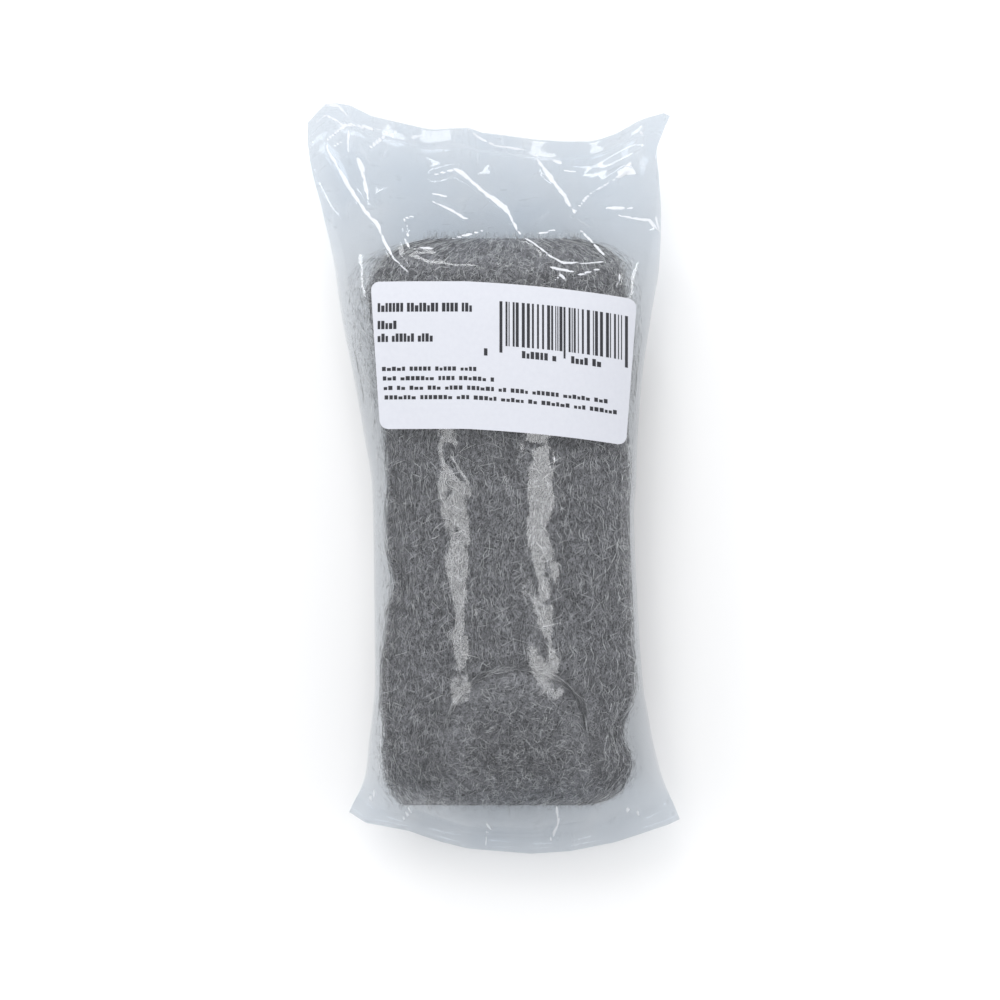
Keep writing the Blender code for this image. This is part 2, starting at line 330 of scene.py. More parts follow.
def clear_film():
    """Blown polyethylene film: clear with a faint blue-grey haze, glossy where it lies taut."""
    material, tree = new_material("blown_polyethylene_film")
    place = add(tree, "ShaderNodeTexCoord").outputs["Object"]
    ripple = add(tree, "ShaderNodeTexNoise", [("Vector", place)], Scale=95.0, Detail=2.0)
    bump = add(
        tree, "ShaderNodeBump", [("Height", ripple.outputs["Fac"])], Strength=0.25, Distance=0.0006
    )
    # The film's own clear colour, a little darker on some facets: that darkening is painted shade for
    # the facets' tilt.
    shade = add(tree, "ShaderNodeAttribute", attribute_name="shade")
    clear_tint_and_painted_facet_shade = colour_ramp(tree, shade.outputs["Fac"], (0.0, "#F7F8F9"), (1.0, "#F4F6F8"))
    through = add(tree, "ShaderNodeBsdfTransparent", [("Color", clear_tint_and_painted_facet_shade)])
    haze = add(tree, "ShaderNodeBsdfDiffuse", Color=linear("#ECEEF2"))
    # A hard fold draws a crisp white band, a crinkle a faint one: partly the film's stress-whitening,
    # partly a painted highlight along the fold.
    fold = add(tree, "ShaderNodeAttribute", attribute_name="fold")
    fold_white_and_highlight = colour_ramp(tree, fold.outputs["Fac"], (0.42, "#181818"), (0.56, "#D8D8D8"))
    crinkle = add(tree, "ShaderNodeAttribute", attribute_name="crinkle")
    line = colour_ramp(tree, crinkle.outputs["Fac"], (0.4, "#000000"), (0.7, "#484848"))
    white_and_painted_highlight = combined(tree, "MAXIMUM", fold_white_and_highlight, line)
    body = add(
        tree,
        "ShaderNodeMixShader",
        [("Fac", white_and_painted_highlight), (1, through.outputs["BSDF"]), (2, haze.outputs["BSDF"])],
    )
    gloss = add(
        tree,
        "ShaderNodeBsdfGlossy",
        [("Normal", bump.outputs["Normal"])],
        Color=linear("#FFFFFF"),
        Roughness=0.06,
    )
    # The film mirrors a little of the light face on and most of it edge on.
    facing = add(tree, "ShaderNodeLayerWeight", [("Normal", bump.outputs["Normal"])], Blend=0.5)
    steep = add(tree, "ShaderNodeMath", [(0, facing.outputs["Facing"])], operation="POWER")
    steep.inputs[1].default_value = 5.0
    mirrored = add(
        tree, "ShaderNodeMath", [(0, steep.outputs["Value"])], operation="MULTIPLY_ADD"
    )
    mirrored.inputs[1].default_value = 0.6
    mirrored.inputs[2].default_value = 0.026
    shader = add(
        tree,
        "ShaderNodeMixShader",
        [
            ("Fac", mirrored.outputs["Value"]),
            (1, body.outputs["Shader"]),
            (2, gloss.outputs["BSDF"]),
        ],
    )
    add(tree, "ShaderNodeOutputMaterial", [("Surface", shader.outputs["Shader"])])
    return material


def label_paper():
    """Coated label paper: cool white, smooth, with a faint fibre mottle."""
    material, tree = new_material("coated_label_paper")
    place = add(tree, "ShaderNodeTexCoord").outputs["Object"]
    mottle = add(tree, "ShaderNodeTexNoise", [("Vector", place)], Scale=600.0, Detail=3.0)
    colour = colour_ramp(tree, mottle.outputs["Fac"], (0.0, "#CACCD4"), (1.0, "#D2D4DB"))
    bump = add(
        tree, "ShaderNodeBump", [("Height", mottle.outputs["Fac"])], Strength=0.1, Distance=0.0001
    )
    links = [("Base Color", colour), ("Normal", bump.outputs["Normal"])]
    principled(tree, links, Roughness=0.5, IOR=1.5)
    return material


def label_ink():
    """Thermal-transfer ink: a soft black that lets a little of the paper show."""
    material, tree = new_material("thermal_transfer_ink")
    place = add(tree, "ShaderNodeTexCoord").outputs["Object"]
    wear = add(tree, "ShaderNodeTexNoise", [("Vector", place)], Scale=900.0, Detail=2.0)
    colour = colour_ramp(tree, wear.outputs["Fac"], (0.0, "#191A1F"), (1.0, "#33343A"))
    principled(tree, [("Base Color", colour)], Roughness=0.45, IOR=1.5)
    return material


# ---------------------------------------------------------------- the wool

TONGUE_CENTRE = (8.5, -92.0)
TONGUE_HALF_WIDTH = 28.0
TONGUE_ARC_HEIGHT = 25.5
TONGUE_RISE = 1.7
CRIMP_PITCH = 5.2
CRIMP_DEPTH = 0.28
FILM_ROOM = 0.45
# A girth of the hank, which turns a distance across the fibres into a share of it.
GIRTH = 250.0
ANGLE_STEPS = 2000
# The height that parts the hank's front from its back.
MIDDLE_HEIGHT = WOOL_SECTIONS[0][3]


def inside_tongue(x, y):
    """Millimetres inside the folded end's rounded edge; negative outside it."""
    along = np.maximum(y - TONGUE_CENTRE[1], 0.0)
    reach = np.hypot(x - TONGUE_CENTRE[0], along * TONGUE_HALF_WIDTH / TONGUE_ARC_HEIGHT)
    uneven = 1.5 * swell(x, y, 17.0, 5)
    return TONGUE_HALF_WIDTH + uneven - reach


def wool_point(angle, place, inset):
    """A point of the wool, with its lumps and the raised tongue on its front."""
    point = WOOL.point(angle, place, 0.0)
    x, y = point[..., 0], point[..., 1]
    front = np.sin(angle) > 0.25
    raised = TONGUE_RISE * smooth_step(0.0, 1.6, inside_tongue(x, y))
    groove = 1.2 * np.exp(-(((inside_tongue(x, y) + 0.7) / 0.9) ** 2)) * smooth_step(-98.0, -84.0, y)
    lumps = 0.35 + 0.45 * swell(point[..., 2] + x, y, 31.0, 2) + 0.2 * swell(x, y * 0.5, 9.0, 3)
    crimped = smooth_step(-72.0, -50.0, y) * smooth_step(22.0, 4.0, y) * smooth_step(-12.0, 12.0, x)
    wave = np.sin(2 * math.pi * (y + 0.8 * swell(x, y, 25.0, 6)) / CRIMP_PITCH)
    crimp = CRIMP_DEPTH * wave * crimped * front
    # The film pinches the hank in at two places on its sides.
    pinch = 3.0 * np.exp(-(((y + 39.0) / 9.0) ** 2)) * smooth_step(-30.0, -40.0, x)
    pinch = pinch + 4.0 * np.exp(-(((y + 92.0) / 9.0) ** 2)) * smooth_step(42.0, 52.0, x)
    depth = inset + np.clip(lumps, 0.0, 1.2) + crimp + pinch
    depth = depth + np.where(front, groove + TONGUE_RISE - raised, 0.0)
    return within_film(WOOL.point(angle, place, depth))


def within_film(point):
    """The point, moved back inside the bag where it would come through the film."""
    x, y, z = point[..., 0], point[..., 1], point[..., 2]
    left, right = BAG.column(1, y), BAG.column(2, y)
    middle, half = (left + right) / 2, (right - left) / 2
    across = np.clip((x - middle) / half, -0.96, 0.96)
    place = y - BAG.column(7, y) * (1 - across * across)
    squareness = BAG.column(6, place)
    height = (1 - np.abs(across) ** squareness) ** (1 / squareness)
    room = FILM_ROOM + 0.9 * smooth_step(68.0, 80.0, y)
    top = BAG.column(3, place) + BAG.column(4, place) * height - room
    foot = np.maximum(BAG.column(3, place) - BAG.column(5, place) * height + 0.5, 0.5)
    return np.stack([middle + half * across, y, np.clip(z, foot, np.maximum(top, foot))], axis=-1)


def make_core():
    """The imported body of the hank, just under its outermost fibres."""
    rows, sides = 120, 110
    shares = (1 - np.cos(np.linspace(0, math.pi, rows))) / 2
    places = WOOL.places[0] + (WOOL.places[-1] - WOOL.places[0]) * shares
    angles = WOOL.even_angles(sides)
    points = wool_point(*np.meshgrid(angles, places), 1.1)
    faces = ring_faces(rows, sides)
    faces.append(tuple(range(sides)))
    faces.append(tuple((rows - 1) * sides + i for i in range(sides)))
    core = new_object("wool_core", points, faces)
    turn_outwards(core)
    flat = points.reshape(-1, 3)
    front = flat[:, 2] > MIDDLE_HEIGHT
    folded = smooth_step(-6.0, 6.0, inside_tongue(flat[:, 0], flat[:, 1])) * front
    ends = smooth_step(60.0, 74.0, flat[:, 1]) + smooth_step(-96.0, -112.0, flat[:, 1])
    marks = core.data.attributes.new("folded", "FLOAT", "POINT")
    marks.data.foreach_set("value", np.clip(0.25 + folded + ends, 0, 1).astype(np.float32))
    core.data.materials.append(steel_mat())
    keep(core, "steel_wool", "wool_bundle")


def turn_outwards(piece):
    mesh = bmesh.new()
    mesh.from_mesh(piece.data)
    bmesh.ops.recalc_face_normals(mesh, faces=mesh.faces)
    mesh.to_mesh(piece.data)
    mesh.free()


def fibre_mesh(name, paths, radius, tones_and_painted_glints, material):
    """Three-sided closed fibres along paths, an array of (fibres, points, 3) in millimetres."""
    fibres, steps, _ = paths.shape
    along = np.gradient(paths, axis=1)
    along /= np.linalg.norm(along, axis=2, keepdims=True) + 1e-9
    up = np.array([0.13, 0.21, 0.97])
    side = np.cross(along, up)
    side /= np.linalg.norm(side, axis=2, keepdims=True) + 1e-9
    over = np.cross(side, along)
    taper = np.full(steps, 1.0)
    taper[0] = taper[-1] = 0.35
    size = radius[:, None, None] * taper[None, :, None]
    turns = 2 * math.pi * np.arange(3) / 3
    ring = [paths + size * (math.cos(t) * side + math.sin(t) * over) for t in turns]
    points = np.stack(ring, axis=2).reshape(-1, 3)
    base = (np.arange(fibres)[:, None, None] * steps + np.arange(steps - 1)[None, :, None]) * 3
    first = np.arange(3)[None, None, :]
    second = (first + 1) % 3
    quads = np.stack([base + first, base + second, base + 3 + second, base + 3 + first], axis=-1)
    start = np.arange(fibres) * steps * 3
    end = start + (steps - 1) * 3
    caps = np.concatenate(
        [np.stack([start + 2, start + 1, start], -1), np.stack([end, end + 1, end + 2], -1)]
    )
    quads = quads.reshape(-1, 4)
    data = bpy.data.meshes.new(name)
    data.vertices.add(len(points))
    data.vertices.foreach_set("co", (points * MM).astype(np.float32).ravel())
    corners = np.concatenate([quads.ravel(), caps.ravel()]).astype(np.int32)
    data.loops.add(len(corners))
    data.loops.foreach_set("vertex_index", corners)
    starts = np.concatenate(
        [np.arange(len(quads)) * 4, len(quads) * 4 + np.arange(len(caps)) * 3]
    ).astype(np.int32)
    data.polygons.add(len(starts))
    data.polygons.foreach_set("loop_start", starts)
    data.update(calc_edges=True)
    data.shade_smooth()
    tone_and_painted_glint = data.attributes.new("tone_and_painted_glint", "FLOAT", "POINT")
    tone_and_painted_glint.data.foreach_set("value", np.repeat(tones_and_painted_glints, steps * 3).astype(np.float32))
    data.materials.append(material)
    made = bpy.data.objects.new(name, data)
    bpy.context.scene.collection.objects.link(made)
    return made


def angle_at(share):
    """The angle at a share of the hank's girth."""
    shares = np.arange(ANGLE_STEPS) / ANGLE_STEPS
    return np.interp(share % 1.0, shares, WOOL.even_angles(ANGLE_STEPS))


def flowing_fibres(draw, count, steps, turn_low, turn_high, low, high, length, stray):
    """Paths that run along the hank, over the part of its girth between two shares."""
    share = draw.uniform(turn_low, turn_high, count)
    middle = draw.uniform(low, high, count)
    half = draw.uniform(0.35, 0.65, count) * length
    along = np.linspace(-1, 1, steps)[None, :] * half[:, None]
    lean = draw.normal(0, 0.14, count)
    lean = np.where(draw.random(count) < stray, draw.normal(0, 0.9, count), lean)
    flow = 0.12 * swell(share * GIRTH, middle, 42.0, 11)
    wave = draw.uniform(0.1, 0.4, count)[:, None] * np.sin(
        along / draw.uniform(0.5, 0.9, count)[:, None] + draw.uniform(0, TURN, count)[:, None]
    )
    bend = draw.normal(0, 0.07, count)[:, None] * along**2
    across = (lean + flow)[:, None] * along + wave + bend
    place = middle[:, None] + along / np.sqrt(1 + (lean + flow) ** 2)[:, None]
    angle = angle_at(share[:, None] + across / GIRTH)
    depth = draw.uniform(-0.2, 1.1, count)[:, None] + 0.35 * np.sin(
        along / 1.7 + draw.uniform(0, TURN, count)[:, None]
    )
    place = np.clip(place, WOOL.places[0] + 0.5, WOOL.places[-1] - 0.5)
    return wool_point(angle, place, depth)


def curled_fibres(draw, count, steps, centre, spread, loop, depth_range):
    """Loose curls lying on the front, as on the folded end where the strands turn over."""
    x0 = draw.normal(centre[0], spread[0], count)
    y0 = draw.normal(centre[1], spread[1], count)
    heading = draw.uniform(0, 2 * math.pi, count)
    turn = draw.normal(0, 1, count) * 2.4
    t = np.linspace(0, 1, steps)[None, :]
    angle = heading[:, None] + turn[:, None] * t
    step = (draw.uniform(0.6, 1.5, count) * loop / steps)[:, None]
    x = x0[:, None] + np.cumsum(np.cos(angle) * step, axis=1)
    y = y0[:, None] + np.cumsum(np.sin(angle) * step, axis=1)
    y = np.clip(y, WOOL.places[0] + 0.5, WOOL.places[-1] - 0.5)
    depth = draw.uniform(*depth_range, count)[:, None] + 0.3 * np.sin(6 * t + heading[:, None])
    return over_front(x, y, depth)


def over_front(x, y, depth):
    """A point of the wool's front at this x and y."""
    left, right = WOOL.column(1, y), WOOL.column(2, y)
    across = np.clip((x - (left + right) / 2) / ((right - left) / 2), -0.995, 0.995)
    cosine = np.sign(across) * np.abs(across) ** (WOOL.column(6, y) / 2)
    return wool_point(np.arccos(cosine), y, depth)


def arc_fibres(draw, count, steps):
    """Fibres that turn over along the tongue's rounded edge, and make it show as a rim."""
    middle = draw.uniform(0.1, math.pi - 0.1, count)[:, None]
    half = draw.uniform(0.06, 0.16, count)[:, None]
    angle = middle + np.linspace(-1, 1, steps)[None, :] * half
    lean = draw.normal(0, 3.0, count)[:, None] * (angle - middle)
    pace = draw.uniform(15, 40, count)[:, None]
    wave = 0.3 * np.sin(angle * pace + draw.uniform(0, TURN, count)[:, None])
    reach = TONGUE_HALF_WIDTH - draw.uniform(0.2, 2.6, count)[:, None] + lean + wave
    x = TONGUE_CENTRE[0] + reach * np.cos(angle)
    y = TONGUE_CENTRE[1] + reach * np.sin(angle) * TONGUE_ARC_HEIGHT / TONGUE_HALF_WIDTH
    return over_front(x, y, draw.uniform(-0.3, 0.5, count)[:, None] + 0 * x)


def outside_arc(paths):
    """The fibres that neither cross the dark line round the tongue nor lie on the tongue."""
    middle = paths[:, paths.shape[1] // 2]
    inside = inside_tongue(middle[:, 0], middle[:, 1])
    gap = np.where(middle[:, 1] > -88.0, 1.4, 0.0)
    return paths[(inside < -gap) | (middle[:, 2] < MIDDLE_HEIGHT)]


def wandering_fibres(draw, count, steps, places, turns, sunk, stand, reach):
    """Random curls from `sunk` under the hank's surface to `stand` above it, over a stretch
    of places and a stretch of shares of the girth."""
    share = draw.uniform(*turns, count)
    place = draw.uniform(*places, count)
    t = np.linspace(0, 1, steps)[None, :]
    heading = draw.uniform(0, 2 * math.pi, count)[:, None]
    turn = draw.normal(0, 3.2, count)[:, None]
    step = draw.uniform(0.5, 1.4, count)[:, None] * reach / steps
    across = np.cumsum(np.cos(heading + turn * t) * step, axis=1)
    along = np.cumsum(np.sin(heading + turn * t) * step, axis=1)
    angle = angle_at(share[:, None] + across / GIRTH)
    arch = np.sin(math.pi * np.clip(t * draw.uniform(0.5, 1.0, count)[:, None], 0, 1))
    above = stand * draw.random(count)[:, None] ** 2 + 0.8 * arch * draw.random(count)[:, None]
    depth = sunk * draw.random(count)[:, None] - above
    free = np.clip(place[:, None] + along, WOOL.places[0] - 1.6, WOOL.places[-1] + 2.6)
    place = np.clip(free, WOOL.places[0] + 0.3, WOOL.places[-1] - 0.3)
    points = wool_point(angle, place, depth)
    # Past the hank's ends the fibres stand out into the bag.
    points[..., 1] += free - place
    return points


def add_fibres(draw, name, paths, thin, thick, steel, painted_light_lift=0.0):
    """One piece of fibres, each with its own thickness and grey, the brightest ones painted glints.
    """
    tones_and_painted_glints = draw.beta(0.9, 1.4, len(paths))
    # The brighter a fibre is, the broader, so that its painted glint shows.
    radius = thin + (thick - thin) * tones_and_painted_glints**2 * draw.uniform(0.7, 1.1, len(paths))
    # A piece can be raised towards white: painted light, for fibres lit more than the rest.
    tones_and_painted_glints = tones_and_painted_glints + painted_light_lift
    keep(fibre_mesh(name, paths, radius, tones_and_painted_glints, steel), "steel_wool")


def make_fibres():
    # Real fibres are about 0.05 mm thick. These are drawn up to five times as thick, to show.
    # Each group: its name, shares of the girth, count, lowest and highest place, length, share
    # of stray fibres, and the least and most radius.
    draw = np.random.default_rng(7)
    steel = steel_fibre()
    groups = (
        ("wool_front_strands", (0.02, 0.48), 5000, (-112.0, 76.0), 5.0, 0.3, 0.045, 0.115),
        ("wool_front_fine", (0.02, 0.48), 5400, (-112.0, 76.0), 4.0, 0.5, 0.045, 0.115),
        ("wool_front_glints", (0.02, 0.48), 5400, (-112.0, 76.0), 3.2, 0.7, 0.045, 0.12),
        ("wool_front_kinks", (0.02, 0.48), 5400, (-112.0, 76.0), 2.6, 0.9, 0.045, 0.115),
        ("wool_back_strands", (0.46, 1.04), 2000, (-118.0, 86.0), 8.0, 0.3, 0.06, 0.11),
    )
    for name, (start, end), count, (low, high), length, stray, thin, thick in groups:
        paths = flowing_fibres(draw, count, 4, start, end, low, high, length, stray)
        add_fibres(draw, name, outside_arc(paths), thin, thick, steel)
    curls = curled_fibres(draw, 4400, 4, (8.5, -95.0), (19.0, 13.0), 5.0, (-0.2, 0.9))
    add_fibres(draw, "wool_tongue_curls", curls, 0.045, 0.1, steel)
    add_fibres(draw, "wool_tongue_rim", arc_fibres(draw, 900, 4), 0.045, 0.08, steel)
    # Each end turns over in random curls.
    upper_end = wandering_fibres(draw, 3800, 4, (62.0, 87.4), (0.0, 1.0), 0.8, 2.4, 4.0)
    # The upper curls are raised 0.34 towards white: painted light, for the upper end lit most.
    add_fibres(draw, "wool_upper_curls", upper_end, 0.06, 0.1, steel, 0.34)
    lower_end = wandering_fibres(draw, 2500, 4, (-118.8, -98.0), (0.0, 1.0), 1.0, 1.6, 4.0)
    add_fibres(draw, "wool_lower_curls", lower_end, 0.05, 0.085, steel)
    # Loose fuzz round the edges: (name, count, places, shares of the girth, most it stands out).
    edges = (
        ("wool_upper_fuzz", 1800, (76.0, 88.0), (0.0, 1.0), 5.0),
        ("wool_left_fuzz", 1500, (28.0, 82.0), (0.42, 0.55), 9.0),
        ("wool_right_fuzz", 900, (30.0, 80.0), (-0.04, 0.08), 6.5),
        ("wool_lower_fuzz", 900, (-118.8, -106.0), (0.0, 1.0), 4.0),
        ("wool_side_fuzz_left", 800, (-116.0, 40.0), (0.43, 0.53), 3.6),
        ("wool_side_fuzz_right", 800, (-116.0, 50.0), (-0.02, 0.08), 3.2),
    )
    for name, count, places, turns, stand in edges:
        fuzz = wandering_fibres(draw, count, 4, places, turns, 0.5, stand, 5.0)
        # The fuzz is raised 0.25 towards white: painted light on the loose fibres that stand out.
        add_fibres(draw, name, fuzz, 0.045, 0.075, steel, 0.25)


# ---------------------------------------------------------------- the film

# Folds pressed into the film, as runs of (x, y) in millimetres, then how high each stands
# and half the width of the white band along it, where 0 draws none. The band is partly the film's
# stress-whitening and partly a painted highlight.
CREASES = (
    (
        (
            (-60.5, 121.7),
            (-59, 117.6),
            (-56, 112.2),
            (-51, 103),
            (-45, 95),
            (-41.5, 91.8),
            (-36, 79.5),
            (-28.7, 72),
        ),
        0.8,
        0.75,
    ),
    (((-61.5, 121.7), (-54.2, 126.4), (-46, 127.2), (-38.7, 126.4)), 0.5, 0.7),
    (((-58.3, 119.5), (-53.3, 121.7)), 0.4, 0.5),
    (((-53.3, 125.8), (-52.8, 115.8)), 0.3, 0.35),
    (((-49.6, 117.3), (-47.8, 112.2), (-46.5, 106.7), (-45.6, 100.4)), 0.6, 0.9),
    (((-53.3, 129.5), (-56.5, 133), (-62.4, 135.5)), 0.4, 0.4),
    (((-64.7, 132.7), (-60.5, 130.4), (-55.6, 126.7)), 0.4, 0.45),
    (((-45.1, 120.4), (-41, 124), (-38.7, 126.4)), 0.4, 0.8),
    (((-35.6, 127.2), (-38.3, 124)), 0.3, 0.5),
    (((-32, 124.5), (-26, 126.7)), 0.3, 0.45),
    (
        ((-22, 111.5), (-14.2, 113.1), (-8.7, 109.5), (-1.5, 103), (4, 98.5), (6.7, 93), (9.5, 87.6)),
        0.8,
        1.05,
    ),
    (((9.5, 87.6), (14.4, 84.5), (20.4, 79.5), (24.9, 77.3), (33, 77.3), (40.4, 78.1)), 0.5, 0.4),
    (((-23, 104.2), (-17, 102.7)), 0.3, 0.4),
    (((-23.3, 101.3), (-16, 97.6), (-10.5, 94), (-6.5, 94.5)), 0.4, 0.4),
    (((-28.7, 94.9), (-32, 94), (-31, 90.8)), 0.4, 0.4),
    (((-30.2, 89.5), (-31.5, 85.8), (-30.2, 83)), 0.5, 0.6),
    (((-11, 125.8), (-9.6, 127.6), (-5.1, 125.8), (0.4, 124), (14, 124)), 0.4, 0.5),
    (((14, 124), (17, 119.5), (21.3, 112.2), (24.9, 105), (29, 95.8)), 0.8, 0.95),
    (((29, 95.8), (34.9, 105), (42.2, 110.4), (46, 112.5)), 0.5, 0.4),
    (((43.5, 111.5), (48, 114.3), (51, 111.8)), 0.9, 2.0),
    (((46, 113), (49.5, 117.6)), 0.4, 0.8),
    (((15.8, 88.2), (21.8, 89.5)), 0.5, 0.7),
    (((44, 95.4), (51.3, 94), (55.8, 93.6), (59.5, 89.5)), 0.5, 0.6),
    (((58.3, 95.4), (59.5, 90)), 0.3, 0.5),
    (((38.5, 98.1), (51.3, 98.1)), 0.3, 0.25),
    (((44.4, 77.3), (44.9, 72.2), (44, 67.6)), 0.4, 0.4),
    (((31.3, 89.5), (40.4, 79.5)), 0.3, 0.25),
    (((53, 130.4), (54.9, 127.6)), 0.3, 0.5),
    (((21.3, 121.7), (24.9, 120.9)), 0.4, 0.9),
    (((25.8, 117.6), (30.4, 117.3)), 0.4, 0.7),
    (((19.5, 75.8), (28.5, 74)), 0.3, 0.5),
    (((21.3, 70.4), (24, 73.1), (26.2, 69.5)), 0.3, 0.3),
    (((28.5, 72.2), (38.5, 75.5)), 0.3, 0.35),
    (((-26.9, 83.1), (-21.5, 82.4)), 0.3, 0.6),
    (((-16, 86), (-3.3, 89.5)), 0.3, 0.45),
    (((48, -120.5), (53, -122)), 0.5, 0.8),
    (((-33, -127), (-30, -119)), 0.5, 0.35),
    (((-3, -136), (-2, -127), (1, -119)), 0.6, 0.3),
    (((20, -134), (24, -124), (22, -116)), -0.6, 0.3),
    (((-46, -119), (-42, -112)), 0.5, 0.3),
    (((8, 12), (14, 9), (21, 11), (22, 4)), 0.35, 0.0),
    (((-16, 9), (-12, 3), (-8, -2)), 0.35, 0.0),
)
CREASE_SLOPE = 2.0
LEAST_BAND = 0.5


def crease_relief(x, y):
    """Height of the creases over the film's front, and their folds: 1 on a fold, 0.5 at the
    edge of the white band along it, partly stress-whitening and partly a painted highlight."""
    total, fold = np.zeros(x.shape), np.zeros(x.shape)
    uneven = np.clip(0.7 + 0.35 * swell(x, y, 9.0, 61) + 0.3 * swell(x, y, 3.5, 62), 0.45, 1.3)
    for line, height, white in CREASES:
        nearest, along, gone = np.full(x.shape, 1e9), np.zeros(x.shape), 0.0
        for (ax, ay), (bx, by) in zip(line, line[1:]):
            dx, dy = bx - ax, by - ay
            reach = math.hypot(dx, dy)
            part = np.clip(((x - ax) * dx + (y - ay) * dy) / reach**2, 0, 1)
            away = np.hypot(x - ax - part * dx, y - ay - part * dy)
            along = np.where(away < nearest, gone + part * reach, along)
            nearest = np.minimum(nearest, away)
            gone += reach
        total = total + height * np.maximum(0, 1 - nearest / CREASE_SLOPE)
        # The band draws to a point at each end of its fold.
        taper = np.sqrt(np.clip(np.minimum(along, gone - along) / (0.3 * gone), 0, 1))
        band = (max(white, LEAST_BAND) if white else 0.0) * uneven * taper + 0.01
        fold = np.maximum(fold, np.clip(1 - 0.5 * nearest / band, 0, 1))
    return total, fold


def crumple(x, y, cell, seed):
    """Flat facets that meet in sharp folds, as in film crushed and let go: (height, a faint white
    band along each fold, partly stress-whitening and partly a painted highlight, and a painted shade
    for each facet).
    """
    draw = np.random.default_rng(seed)
    total, fold, shade = np.zeros(x.shape), np.zeros(x.shape), np.zeros(x.shape)
    layers = 7
    for number in range(layers):
        heading = draw.uniform(0, math.pi)
        pace = 1 / (cell * draw.uniform(0.7, 1.6))
        bent = 0.35 * swell(x, y, cell * 3, int(draw.integers(1000)))
        saw = (x * math.cos(heading) + y * math.sin(heading)) * pace + bent + draw.random()
        slope = np.abs((saw % 2.0) - 1.0)
        total = total + slope - 0.5
        # A painted shade for each facet, from which way its slopes face.
        shade = shade + ((saw % 2.0) > 1.0) / layers
        edge = np.minimum(slope, 1 - slope) / pace
        here = smooth_step(0.1, 0.7, swell(x, y, cell * 1.3, seed + 50 + number))
        # A faint white band along each fold: partly stress-whitening, partly a painted highlight.
        fold = np.maximum(fold, np.clip(1 - 0.5 * edge / 0.4, 0, 1) * here)
    return total / 2.0, fold, shade


# The bag's cut edges, as (share across from its left fold to its right one, Y in millimetres).
TOP_EDGE = (
    (0.0, 130.0),
    (0.047, 136.9),
    (0.08, 137.2),
    (0.121, 136.2),
    (0.173, 132.5),
    (0.338, 127.5),
    (0.445, 128.2),
    (0.478, 126.4),
    (0.53, 125.6),
    (0.627, 123.8),
    (0.712, 123.1),
    (0.786, 123.1),
    (0.852, 126.0),
    (0.902, 130.0),
    (0.932, 131.8),
    (0.984, 133.6),
    (1.0, 132.4),
)
BOTTOM_EDGE = (
    (0.0, -122.0),
    (0.05, -126.0),
    (0.18, -128.8),
    (0.27, -132.6),
    (0.36, -135.4),
    (0.55, -137.3),
    (0.67, -136.2),
    (0.8, -133.2),
    (0.97, -126.4),
    (1.0, -124.6),
)


def to_cut_edges(points, place):
    """Moves the film near each end in Y, so that its edges follow the cut."""
    left, right = BAG.column(1, place), BAG.column(2, place)
    share = np.clip((points[..., 0] - left) / (right - left), 0, 1)
    bow = BAG.column(7, place) * (1 - (2 * share - 1) ** 2)
    top_share, top_y = np.array(TOP_EDGE).T
    low_share, low_y = np.array(BOTTOM_EDGE).T
    top = np.interp(share, top_share, top_y) - (BAG.places[-1] + bow)
    low = np.interp(share, low_share, low_y) - (BAG.places[0] + bow)
    points[..., 1] += top * smooth_step(100.0, BAG.places[-1], place)
    points[..., 1] += low * (1 - smooth_step(BAG.places[0], -110.0, place))


def film_relief(x, y, front):
    """How far the film stands off its smooth shape, the white bands along its folds and crinkles,
    partly stress-whitening and partly painted highlight, and a painted shade for its facets.
    """
    upper = smooth_step(70.0, 96.0, y)
    lower = smooth_step(-104.0, -118.0, y)
    loose = np.maximum(upper, lower)
    creases, folds = crease_relief(x, y)
    facets, front_crinkle, front_shade = crumple(x, y, 15.0, 21)
    back_facets, back_crinkle, back_shade = crumple(x, y, 19.0, 22)
    gathers, gather_crinkle, gather_shade = crumple(x, y * 0.15, 8.0, 23)
    relief = np.where(front, creases + facets * loose, back_facets * (0.1 + 0.8 * loose))
    hem = smooth_step(98.0, 126.0, y)
    ripple = 0.09 * swell(x, y * 0.8, 26.0, 31) + 0.06 * swell(x, y * 0.6, 10.0, 32)
    relief = relief + ripple * (1 - loose) + 0.35 * gathers * hem
    # Crinkle bands are partly stress-whitening and partly painted highlight; the facet shade is
    # painted shade.
    crinkle = np.maximum(np.where(front, front_crinkle, back_crinkle) * loose, gather_crinkle * hem)
    shade = np.where(front, front_shade, back_shade) * loose + 0.5 * gather_shade * hem
    return relief, folds * front, crinkle, shade


FILM_WALL = 0.12
FLOOR_ROOM = 0.13
SEAL_PLACE, SEAL_HALF_WIDTH = 130.3, 1.2
FINE_FROM = 62.0


